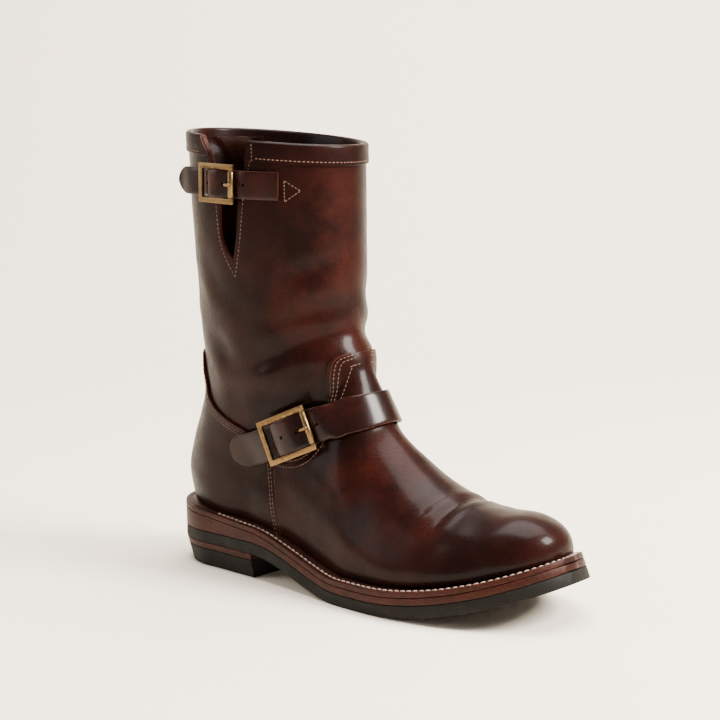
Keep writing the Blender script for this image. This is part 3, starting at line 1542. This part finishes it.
@dataclass
class Strap:
    """A strap with its buckle, laid round the boot."""

    palette: Palette
    name: str
    x: float
    z: float
    tilt: float
    first: float
    last: float
    width: float
    thick: float
    low: float
    begin: float | None
    buckle_x: float
    buckle_length: float
    tail: float
    curl: float
    holes: tuple[float, ...]
    bar: float = 0.0033
    bar_thick: float = 0.0018
    axle: float = 0.0014
    centre_bar: float = 0.0026
    centre_thick: float = 0.0011
    roller: float = 0.0019
    roller_wall: float = 0.0006
    prong: float = 0.0008
    fade: float = 0.023
    slot: tuple[float, float] = (0.44, 0.70)
    slot_half: float = 0.0012
    hole_radius: float = 0.0011

    def __post_init__(self) -> None:
        """Measure the way round the boot and flatten it under the buckle."""
        self.angles = np.radians(np.linspace(self.first, self.last, 160))
        self.slope = math.radians(self.tilt)
        px, pz, side = FORM.ring(self.x, self.z, self.slope, self.angles)
        points = self.bare(px, pz, side)
        step = np.linalg.norm(np.diff(points, axis=0), axis=1)
        self.run = np.concatenate([[0], np.cumsum(step)])
        self.flat: Any = None
        self.centre = self.place_at(self.buckle_x, px, side)
        self.start = 0.0 if self.begin is None else self.place_at(self.begin, px, side)
        self.flatten()

    def bare(self, x: Array, z: Array, side: Array) -> Array:
        """Return skin points without their folds."""
        y = FORM.swing(FORM.share(x)) + side * FORM.half_width(x, z, side)
        return np.stack([x, y, z], axis=-1)

    def place_at(self, x: float, px: Array, side: Array) -> float:
        """Return the distance along at which the strap passes x on the outer side."""
        outer = side < 0
        order = np.argsort(px[outer])
        return float(np.interp(x, px[outer][order], self.run[outer][order]))

    def flatten(self) -> None:
        """Lay the places under the buckle in one plane."""
        half, reach = self.width / 2, self.buckle_length / 2
        near = self.lay(self.centre + np.array([-0.004, 0.0, 0.004]), np.zeros(3), np.zeros(3))
        edge = self.lay(np.full(2, self.centre), np.zeros(2), np.array([-half, half]))
        along = unit(near[2] - near[0])
        across = edge[1] - edge[0]
        across = unit(across - along * (across @ along))
        normal = np.cross(across, along)
        if normal @ (near[1] * np.array([0.0, 1.0, 0.0])) < 0:
            normal = -normal
        span, wide = np.meshgrid(np.linspace(-reach, reach, 9), [-half, 0.0, half])
        field = self.lay(self.centre + span.ravel(), np.zeros(27), wide.ravel())
        origin = near[1] + normal * float(((field - near[1]) @ normal).max())
        self.flat = (origin, along, across, normal)

    def lay(self, along: Any, out: Any, across: Any) -> Array:
        """Return points at distances along the strap, out from the boot and across."""
        along, across = np.asarray(along, float), np.asarray(across, float)
        half = self.width / 2
        angles = np.interp(along, self.run, self.angles)
        rows = []
        for shift in (-half, 0.0, half):
            x, z, side = FORM.ring(self.x, self.z, self.slope, angles, shift)
            rows.append((self.bare(x, z, side), FORM.normal(x, z, side)))
        low, middle, high = rows
        chord = (low[0] + high[0]) / 2
        lift = np.clip(((chord - middle[0]) * middle[1]).sum(-1), 0, None)
        centre = middle[0] + middle[1] * lift[:, None]
        share = (across / half)[:, None]
        end = np.where(share < 0, low[0], high[0])
        reach = np.abs(share)
        outer = np.where(share < 0, low[1], high[1])
        lean = unit(middle[1] * (1 - reach) + outer * reach)
        base = centre + (end - centre) * reach
        if self.flat is not None:
            origin, way, wide, normal = self.flat
            shift = along - self.centre
            plane = origin + way * shift[:, None] + wide * across[:, None]
            t = np.clip((np.abs(shift) - self.buckle_length / 2) / self.fade, 0, 1)
            flatness = (1 - t * t * (3 - 2 * t))[:, None]
            proud = ((plane - base) * lean).sum(-1, keepdims=True)
            bridge = base + np.where(proud > 0, plane - base, 0.0) * flatness
            base = np.where(flatness > 0.999, plane, bridge)
            lean = unit(lean * (1 - flatness) + normal * flatness)
        return base + lean * np.asarray(out, float)[:, None]

    def carry(self, thing: bpy.types.Object) -> bpy.types.Object:
        """Carry a piece built flat onto the strap: x forwards, y across and z out."""
        flat = np.array([vertex.co for vertex in thing.data.vertices])
        placed = self.lay(self.centre - flat[:, 0], flat[:, 2] + self.base, flat[:, 1])
        thing.data.vertices.foreach_set("co", placed.ravel())
        work = bmesh.new()
        work.from_mesh(thing.data)
        turn_out(work, thing.data)
        return thing

    @property
    def base(self) -> float:
        """Height of the buckle's underside above the skin."""
        return self.low + self.thick + FORM.gap + self.roller - self.bar_thick / 2

    def path(self) -> Array:
        """Return the strap's middle line as distances along and out."""
        low = self.low + self.thick / 2
        high = self.base + self.centre_thick + FORM.gap + self.thick / 2
        axle = self.buckle_length / 2 - self.roller
        arch = [(self.centre + r.place * axle, low + (high - low) * r.rise) for r in ARCH_ROWS]
        arch = curve_through(arch, 8)
        before = [(a, low) for a in np.arange(self.start, arch[0][0] - 0.002, 0.002)]
        end = self.centre + self.tail
        after = [(a, low) for a in np.linspace(arch[-1][0], end, 40)[1:]]
        path = np.array([*before, *(tuple(p) for p in arch), *after])
        away = np.clip(path[:, 0] - self.centre - axle * 1.1, 0, None)
        path[:, 1] += self.curl * away**2 / 0.104
        return path

    def belt(self) -> None:
        """Build the leather strap with its rounded tip, slot and holes."""
        path = self.path()
        ahead = unit(np.gradient(path, axis=0))
        square = np.stack([-ahead[:, 1], ahead[:, 0]], axis=1)
        tip = self.width / 2
        inwards = np.clip(1 - (path[-1, 0] - path[:, 0]) / tip, 0, 0.985)
        half = tip * np.sqrt(1 - inwards**2)
        turn = np.arange(28) / 28 * 2 * math.pi
        flatness = np.sign(np.cos(turn)) * np.abs(np.cos(turn)) ** 0.22
        rounding = np.sign(np.sin(turn)) * np.abs(np.sin(turn)) ** 0.55
        loops = []
        for wide, high in zip(flatness, rounding):
            spine = path + square * high * self.thick / 2
            loops.append(self.lay(spine[:, 0], spine[:, 1], wide * half))
        profile = np.array(loops)
        faces = sweep_faces(*profile.shape[:2])
        count = profile.shape[1] - 1
        slots = []
        for i in range(28):
            edge = abs(flatness[i]) > 0.975 and abs(flatness[(i + 1) % 28]) > 0.975
            slots += [1 if edge else 0] * count
        slots += [1] * (len(faces) - len(slots))
        looks = [self.palette.strap, self.palette.edge]
        name = self.name + "_leather_strap"
        belt = solid(name, profile.reshape(-1, 3), faces, looks, slots, 60.0)
        axle = self.buckle_length / 2 - self.roller
        cut(belt, self.carry(self.block(axle * self.slot[0], axle * self.slot[1], self.slot_half)))
        for hole in self.holes:
            cut(belt, self.carry(self.peg(hole, self.hole_radius)))
        present(smooth(belt, 60.0), "strap leather", self.name + "_strap")

    def block(self, back: float, front: float, half: float) -> bpy.types.Object:
        """Return a flat-built block through the strap, in the edge's finish."""
        deep = self.base
        points = [(x, y, z) for x in (back, front) for y in (-half, half) for z in (-deep, deep)]
        faces = [(0, 1, 3, 2), (4, 6, 7, 5), (0, 4, 5, 1), (2, 3, 7, 6), (0, 2, 6, 4), (1, 5, 7, 3)]
        return solid("block", points, faces, [self.palette.strap, self.palette.edge], 1)

    def peg(self, x: float, radius: float) -> bpy.types.Object:
        """Return a flat-built round peg through the strap, in the edge's finish."""
        turn = np.arange(14) / 14 * 2 * math.pi
        ends = [-self.base * 1.2, self.centre_thick + self.thick * 2.2]
        points = [(x + radius * math.cos(t), radius * math.sin(t), z) for z in ends for t in turn]
        faces = [(i, (i + 1) % 14, 14 + (i + 1) % 14, 14 + i) for i in range(14)]
        faces += [tuple(range(14)), tuple(range(27, 13, -1))]
        return solid("peg", points, faces, [self.palette.strap, self.palette.edge], 1)

    def frame_piece(self) -> None:
        """Build the buckle's frame with rounded bars."""
        half, window = self.buckle_length / 2, self.width / 2 + FORM.gap
        edge, front, axle = window + self.bar, half - self.bar, half - self.roller
        inner, middle, pin = window - FORM.gap, self.centre_bar / 2, self.axle / 2
        alongs = [-half, -front, -middle, middle, front, axle - pin, axle + pin, half]
        acrosses = [-edge, -window, -inner, inner, window, edge]

        def filled(i: int, j: int) -> bool:
            """Tell whether a cell of the frame is metal."""
            if j in (0, 4) or i in (0, 2):
                return True
            return i == 5 if j == 2 else i in (4, 5, 6)

        rows = len(acrosses)
        points = []
        for a in alongs:
            for c in acrosses:
                low = abs(a) < self.centre_bar and abs(c) <= inner
                points.append((a, c, 0.0))
                points.append((a, c, self.centre_thick if low else self.bar_thick))
        faces: list[tuple[int, ...]] = []

        def corner(i: int, j: int, top: int) -> int:
            """Return a grid point's number, below or on top."""
            return 2 * (i * rows + j) + top

        for i in range(len(alongs) - 1):
            for j in range(rows - 1):
                if not filled(i, j):
                    continue
                square = ((i, j), (i + 1, j), (i + 1, j + 1), (i, j + 1))
                faces += [tuple(corner(*c, top) for c in square) for top in (0, 1)]
                for k, (di, dj) in enumerate(((0, -1), (1, 0), (0, 1), (-1, 0))):
                    ni, nj = i + di, j + dj
                    inside = 0 <= ni < len(alongs) - 1 and 0 <= nj < rows - 1
                    if not (inside and filled(ni, nj)):
                        a, b = square[k], square[(k + 1) % 4]
                        faces.append((corner(*a, 0), corner(*b, 0), corner(*b, 1), corner(*a, 1)))
        used = sorted({i for face in faces for i in face})
        number = {old: new for new, old in enumerate(used)}
        faces = [tuple(number[i] for i in face) for face in faces]
        name = self.name + "_brass_frame"
        thing = solid(name, [points[i] for i in used], faces, [self.palette.brass])
        work = bmesh.new()
        work.from_mesh(thing.data)
        straight = math.radians(2)
        bmesh.ops.dissolve_limit(work, angle_limit=straight, verts=work.verts, edges=work.edges)
        work.to_mesh(thing.data)
        work.free()
        soften(thing, 0.00045, 3)
        present(smooth(self.carry(thing), 50.0), "brass", self.name + "_buckle_frame")

    def roller_piece(self) -> None:
        """Build the tube round the buckle's front axle."""
        axle = self.buckle_length / 2 - self.roller
        reach = self.width / 2 - 2 * FORM.gap
        bore, lip = self.roller - self.roller_wall, 0.0002
        section = [
            (self.roller - lip, -reach),
            (self.roller, -reach + lip),
            (self.roller, reach - lip),
            (self.roller - lip, reach),
            (bore, reach),
            (bore, -reach),
        ]
        turn = np.arange(36) / 36 * 2 * math.pi
        loops = []
        for radius, across in section:
            height = self.bar_thick / 2 + radius * np.sin(turn)
            ends = np.full(36, across)
            loops.append(np.stack([axle + radius * np.cos(turn), ends, height], axis=1))
        name = self.name + "_brass_roller"
        thing = solid(name, np.concatenate(loops), ring_faces(loops), [self.palette.brass])
        present(smooth(self.carry(thing), 50.0), "brass", self.name + "_buckle_roller")

    def prong_piece(self) -> None:
        """Build the prong, hooked under the centre bar and over the roller."""
        axle = self.buckle_length / 2 - self.roller
        under = -self.prong - FORM.gap
        over = self.bar_thick / 2 + self.roller + self.prong + FORM.gap
        hook = self.centre_bar / 2 + self.prong + FORM.gap
        stops = [
            (-hook, self.centre_thick - self.prong),
            (-hook * 0.8, under * 0.7),
            (0.0, under * 1.15),
            (axle * 0.30, under * 1.25),
            (axle * 0.52, under * 0.55),
            (axle * 0.66, over * 0.42),
            (axle * 0.80, over * 0.88),
            (axle, over),
            (axle + self.roller, over * 0.96),
        ]
        path = curve_through(stops, 5)
        ahead = unit(np.gradient(path, axis=0))
        square = np.stack([-ahead[:, 1], ahead[:, 0]], axis=1)
        turn = np.arange(12) / 12 * 2 * math.pi
        ends = np.clip(np.minimum(np.arange(len(path)), np.arange(len(path))[::-1]) / 3, 0, 1)
        swell = 1 + 0.35 * np.clip((path[:, 0] / axle - 0.55) / 0.25, 0, 1)
        radius = self.prong * swell * np.sqrt(1 - (1 - ends) ** 2 * 0.85)
        rise = square[None] * np.sin(turn)[:, None, None] * radius[None, :, None]
        across = np.cos(turn)[:, None] * radius[None]
        along, out = path[None, :, 0] + rise[..., 0], path[None, :, 1] + rise[..., 1]
        loops = np.stack([along, across, out], axis=-1)
        faces = sweep_faces(*loops.shape[:2])
        name = self.name + "_brass_prong"
        thing = solid(name, loops.reshape(-1, 3), faces, [self.palette.brass])
        present(smooth(self.carry(thing), 60.0), "brass", self.name + "_buckle_prong")

    def build(self) -> None:
        """Build the strap and its buckle."""
        self.belt()
        self.frame_piece()
        self.roller_piece()
        self.prong_piece()


@dataclass
class SoleUnit:
    """Outsole, midsole, welt, insole and heel."""

    palette: Palette
    cap_thick: float = 0.012
    insole_thick: float = 0.0035
    insole_clear: float = 0.0022
    welt_inner: float = 0.008
    edge: float = 0.0004
    stations: int = 110
    stitch_line: float = 0.0038
    stitch_start: float = 0.16
    pitch: float = 0.0043
    stitch: tuple[float, float] = (0.0034, 0.00125)

    def loop(self, inset: Any, above: Callable[[Array], Array] | float) -> Array:
        """Return the sole's outline, inset, at a height above the underside."""
        turn = (1 - np.cos(np.linspace(0, math.pi, self.stations + 1))) / 2
        outer, inner = FORM.widths(turn)
        heel = round_end(1 - turn / FORM.heel_round, 2.0)
        toe = round_end((turn - FORM.toe_round) / (1 - FORM.toe_round), FORM.toe_power)
        ends = np.where(turn < FORM.heel_round, heel, np.where(turn > FORM.toe_round, toe, 1.0))
        middle, x = FORM.swing(turn), FORM.at(turn)
        there = np.stack([x, middle - outer * ends], axis=1)
        again = np.stack([x, middle + inner * ends], axis=1)[-2:0:-1]
        loop = np.concatenate([there, again])
        ahead = np.roll(loop, -1, axis=0) - np.roll(loop, 1, axis=0)
        outwards = unit(np.stack([ahead[:, 1], -ahead[:, 0]], axis=1))
        loop = loop - outwards * np.asarray(inset)[..., None]
        share = FORM.share(loop[:, 0])
        height = above(share) if callable(above) else np.full(len(loop), float(above))
        return FORM.sole_point(loop[:, 0], loop[:, 1], height)

    def stack(
        self, name: str, loops: Sequence[Array], look: bpy.types.Material
    ) -> bpy.types.Object:
        """Return a plate from closed loops, bottom to top, capped across."""
        count = len(loops[0])
        faces = []
        for level in range(len(loops) - 1):
            a, b = level * count, (level + 1) * count
            for i in range(count):
                j = (i + 1) % count
                faces.append((a + i, a + j, b + j, b + i))
        for base in (0, (len(loops) - 1) * count):
            for i in range((count + 1) // 2):
                far = base + (count - i) % count
                faces.append((base + i, base + i + 1, base + count - i - 1, far))
        return solid(name, np.concatenate(loops), faces, [look])

    def rounded(self) -> list[tuple[float, float, float]]:
        """Return inset, share of the way up and fixed rise for the loops of a rounded edge."""
        corner = []
        for t in np.linspace(0, math.pi / 2, 4):
            corner.append((self.edge * (1 - math.sin(t)), self.edge * (1 - math.cos(t))))
        below = [(inset, 0.0, rise) for inset, rise in corner]
        above = [(inset, 1.0, -rise) for inset, rise in reversed(corner)]
        return below + above

    def edged(self, bottom: Callable, top: Callable) -> list[Array]:
        """Return outline loops between two heights, with rounded edges."""
        loops = []
        for inset, up, rise in self.rounded():

            def height(share: Array) -> Array:
                """Return the loop's height above the outsole's underside."""
                return bottom(share) * (1 - up) + top(share) * up + rise

            loops.append(self.loop(inset, height))
        return loops

    def seat(self, piece: bpy.types.Object, look: bpy.types.Material, node: str) -> None:
        """Put a layer of rubber or leather in place of its solid."""
        present(piece, "rubber" if look is self.palette.rubber else "welt leather", node)

    def welt_bottom(self, share: Array) -> Array:
        """Return the height of the welt's underside above the outsole's underside."""
        return FORM.outsole_thick + FORM.midsole_thick + FORM.wedge(share)

    def plate(
        self, name: str, node: str, look: bpy.types.Material, bottom: Callable, top: Callable
    ) -> None:
        """Build a layer between two heights over the whole outline."""
        self.seat(self.stack(name, self.edged(bottom, top), look), look, node)

    def layers(self) -> None:
        """Build the outsole and the midsole."""
        thick, mid, gap = FORM.outsole_thick, FORM.midsole_thick, FORM.gap
        self.plate(
            "rubber_outsole", "outsole", self.palette.rubber,
            lambda s: 0 * s, lambda s: 0 * s + thick - gap,
        )
        self.plate(
            "leather_midsole", "midsole", self.palette.welt,
            lambda s: 0 * s + thick, lambda s: thick + mid + FORM.wedge(s) - gap,
        )

    def welt(self) -> None:
        """Build the welt and its stitches."""
        outline = self.loop(0.0, 0.0)
        inset = FORM.ledge(FORM.share(outline[:, 0])) + FORM.wall + self.welt_inner
        loops = self.edged(self.welt_bottom, FORM.welt_top)
        groove = ((0.0030, 0.0), (0.0034, -0.0003), (0.0042, -0.0003), (0.0046, 0.0))
        for side, drop in groove:
            loops.append(self.loop(side, lambda s, drop=drop: FORM.welt_top(s) + drop))
        loops += [self.loop(inset, FORM.welt_top), self.loop(inset, self.welt_bottom)]
        looks = [self.palette.welt]
        piece = solid("leather_welt", np.concatenate(loops), ring_faces(loops), looks)
        present(piece, "welt leather", "welt")
        line = self.loop(self.stitch_line, lambda s: FORM.welt_top(s) - 0.00015)
        share = FORM.share(line[:, 0])
        start = int(np.argmax(share[: self.stations] > self.stitch_start))
        stop = len(line) - start
        normals = np.zeros_like(line) + np.array([0.0, 0.0, 1.0])
        needle = Needle("welt_stitches", self.palette.pale)
        needle.row(line[start:stop], normals[start:stop], self.pitch, self.stitch)
        needle.finish()

    def insole(self) -> None:
        """Build the insole inside the upper."""
        turn = (1 - np.cos(np.linspace(0, math.pi, self.stations + 1))) / 2
        back = FORM.heel_point()
        x = back + (FORM.tip - back) * turn
        x[[0, -1]] += np.array([1e-5, -1e-5])
        z = FORM.feather(x)
        level = np.ones(len(x), bool)
        inside = -FORM.wall - self.insole_clear
        outer = FORM.skin(x, z, -1, inside, level)
        inner = FORM.skin(x, z, 1, inside, level)
        low = np.concatenate([outer, inner[-2:0:-1]])
        rise = np.array([0, 0, self.insole_thick])
        loops = [low, low + rise * 0.8, low + rise]
        present(self.stack("insole_sock", loops, self.palette.insole), "lining leather", "insole")

    def heel_loop(self, height: float, inset: float) -> Array:
        """Return the heel's outline at a height, square at the breast."""
        turn = 1 - np.cos(np.linspace(0, math.pi / 2, 48))
        share = FORM.heel_length / FORM.length * turn
        outer, inner = FORM.widths(share)
        round_back = round_end(1 - share / FORM.heel_round, 2.0)
        ends = np.where(share < FORM.heel_round, round_back, 1.0)
        x = FORM.at(0) + inset + (FORM.heel_length - inset) * turn
        outer, inner = outer * ends - inset, inner * ends - inset
        outer[0] = inner[0] = 0.0
        outer[1:], inner[1:] = np.maximum(outer[1:], 0.002), np.maximum(inner[1:], 0.002)
        there, again = np.stack([x, -outer], 1), np.stack([x, inner], 1)[:0:-1]
        loop = np.concatenate([there, again])
        return np.column_stack([loop, np.full(len(loop), height)])

    def heel_layer(self, name: str, node: str, low: float, high: float, look: Any) -> None:
        """Build one layer of the heel, a little narrower towards the floor."""
        loops = []
        for inset, up, rise in self.rounded():
            height = low * (1 - up) + high * up + rise
            taper = FORM.heel_taper * (1 - height / FORM.heel_stack)
            loops.append(self.heel_loop(height, taper + inset))
        self.seat(self.stack(name, loops, look), look, node)

    def build(self) -> None:
        """Build every layer of the sole."""
        self.layers()
        self.welt()
        self.insole()
        top = FORM.heel_stack - FORM.gap
        self.heel_layer("leather_heel_lift", "heel_lift", self.cap_thick, top, self.palette.welt)
        cap = self.cap_thick - FORM.gap
        self.heel_layer("rubber_heel_cap", "heel_cap", 0.0, cap, self.palette.rubber)


@dataclass
class TopStitch:
    """The small stitched triangle in front of the top strap."""

    palette: Palette
    share: float = 0.3925
    height: float = 2.005
    tall: float = 0.0130
    deep: float = 0.0078

    def build(self) -> None:
        """Lay the triangle's three rows."""
        x, z = float(FORM.at(self.share)), self.height * FORM.instep_height
        corners = ((x, z + self.tall / 2), (x + self.deep, z), (x, z - self.tall / 2))
        needle = Needle("strap_anchor_stitches", self.palette.tan)
        for a, b in zip(corners, (*corners[1:], corners[0])):
            view = np.linspace(a, b, 12)
            needle.seam(view, 0.0, 0.0023, (0.0017, 0.0006), [Side.OUTER])
        needle.finish()


class Light(NamedTuple):
    """A soft area light: place, what it looks at, size in metres, power and colour."""

    name: str
    place: tuple[float, float, float]
    target: tuple[float, float, float]
    size: tuple[float, float]
    power: float
    colour: Colour


LIGHTS = (
    Light("key", (1.35, 0.45, 1.10), (0.09, 0.0, 0.12), (0.6, 0.6), 105.0, (1.0, 0.955, 0.90)),
    Light("fill", (-1.3, -1.1, 0.9), (0.05, 0.0, 0.14), (1.2, 1.4), 20.0, (1.0, 0.97, 0.93)),
    Light("top", (0.1, 0.4, 2.1), (0.08, 0.0, 0.1), (1.8, 1.8), 150.0, (1.0, 0.97, 0.93)),
)


@dataclass
class Studio:
    """Plain pale floor, soft lights and the camera."""

    focal: float = 83.7
    place: tuple[float, float, float] = (0.78516, -0.76907, 0.28719)
    heading: float = 0.725894741
    down: float = 0.141134621
    roll: float = -0.0204262186
    world: float = 0.45
    near: float = -3.0
    far: float = 1.6
    bend: float = 0.9
    steepness: float = 2.2
    reach: float = 3.5
    rows: int = 8
    steps: int = 60

    def floor(self) -> None:
        """Build the floor, which curves up far behind the boot."""
        along = np.linspace(self.near, self.far, self.steps)
        rise = np.where(along > self.bend, (along - self.bend) ** 2 * self.steepness, 0.0)
        way = np.array([-math.sin(self.heading), math.cos(self.heading)])
        side = np.array([way[1], -way[0]])
        points = []
        for across in np.linspace(-self.reach, self.reach, self.rows):
            for a, z in zip(along, rise):
                spot = way * a + side * across
                points.append((spot[0], spot[1], z))
        faces = grid_faces(self.rows, self.steps)
        mesh = bpy.data.meshes.new("studio_floor")
        mesh.from_pydata(points, [], faces)
        mesh.materials.append(StudioFinish("studio_pale").make())
        mesh.shade_smooth()
        floor = bpy.data.objects.new("studio_floor", mesh)
        bpy.context.scene.collection.objects.link(floor)

    def lights(self) -> None:
        """Place the soft lights and the pale surroundings."""
        for light in LIGHTS:
            data = bpy.data.lights.new(light.name, "AREA")
            data.shape = "RECTANGLE"
            data.size, data.size_y = light.size
            data.energy, data.color = light.power, light.colour
            lamp = bpy.data.objects.new(light.name, data)
            lamp.location = light.place
            look = Vector(light.target) - Vector(light.place)
            lamp.rotation_euler = look.to_track_quat("-Z", "Y").to_euler()
            bpy.context.scene.collection.objects.link(lamp)
        world = bpy.data.worlds.new("studio_air")
        world.use_nodes = True
        sky = world.node_tree.nodes["Background"]
        sky.inputs[0].default_value = (1.0, 0.965, 0.915, 1.0)
        sky.inputs[1].default_value = self.world
        bpy.context.scene.world = world

    def camera(self) -> None:
        """Place the camera at the photograph's angle."""
        a, e = self.heading, self.down
        forward = Vector((-math.sin(a) * math.cos(e), math.cos(a) * math.cos(e), -math.sin(e)))
        right = Vector((math.cos(a), math.sin(a), 0.0))
        up = right.cross(forward)
        turned = right * math.cos(self.roll) + up * math.sin(self.roll)
        raised = up * math.cos(self.roll) - right * math.sin(self.roll)
        data = bpy.data.cameras.new("studio_camera")
        data.lens, data.sensor_width = self.focal, 36.0
        camera = bpy.data.objects.new("studio_camera", data)
        columns = Matrix((turned, raised, -forward)).transposed().to_4x4()
        camera.matrix_world = Matrix.Translation(Vector(self.place)) @ columns
        bpy.context.scene.collection.objects.link(camera)
        bpy.context.scene.camera = camera

    def build(self) -> None:
        """Set up the studio."""
        self.floor()
        self.lights()
        self.camera()


def main() -> None:
    """Build the boot's dressed pieces and the studio."""
    logging.basicConfig(level=logging.INFO)
    palette = Palette()
    SoleUnit(palette).build()
    Upper(palette).build()
    instep = FORM.instep_height
    Strap(
        palette=palette,
        name="ankle",
        x=float(FORM.at(0.325)),
        z=0.728 * instep,
        tilt=19.1,
        first=90.0,
        last=-135.0,
        width=0.0216,
        thick=0.0022,
        low=FORM.overlay + FORM.gap + 0.0014,
        begin=None,
        buckle_x=float(FORM.at(0.381)),
        buckle_length=0.0385,
        tail=0.052,
        curl=0.0,
        holes=(-0.0026, 0.0232),
    ).build()
    Strap(
        palette=palette,
        name="top",
        x=float(FORM.tube(np.array([FORM.height]))[0][0]),
        z=FORM.height - 0.0263,
        tilt=-3.1,
        first=-30.0,
        last=-165.0,
        width=0.0172,
        thick=0.0020,
        low=FORM.gap,
        begin=float(FORM.at(0.383)),
        buckle_x=float(FORM.at(0.2526)),
        buckle_length=0.0302,
        tail=0.040,
        curl=1.0,
        holes=(-0.0066, 0.0210),
    ).build()
    TopStitch(palette).build()
    Studio().build()


if __name__ == "__main__":
    main()
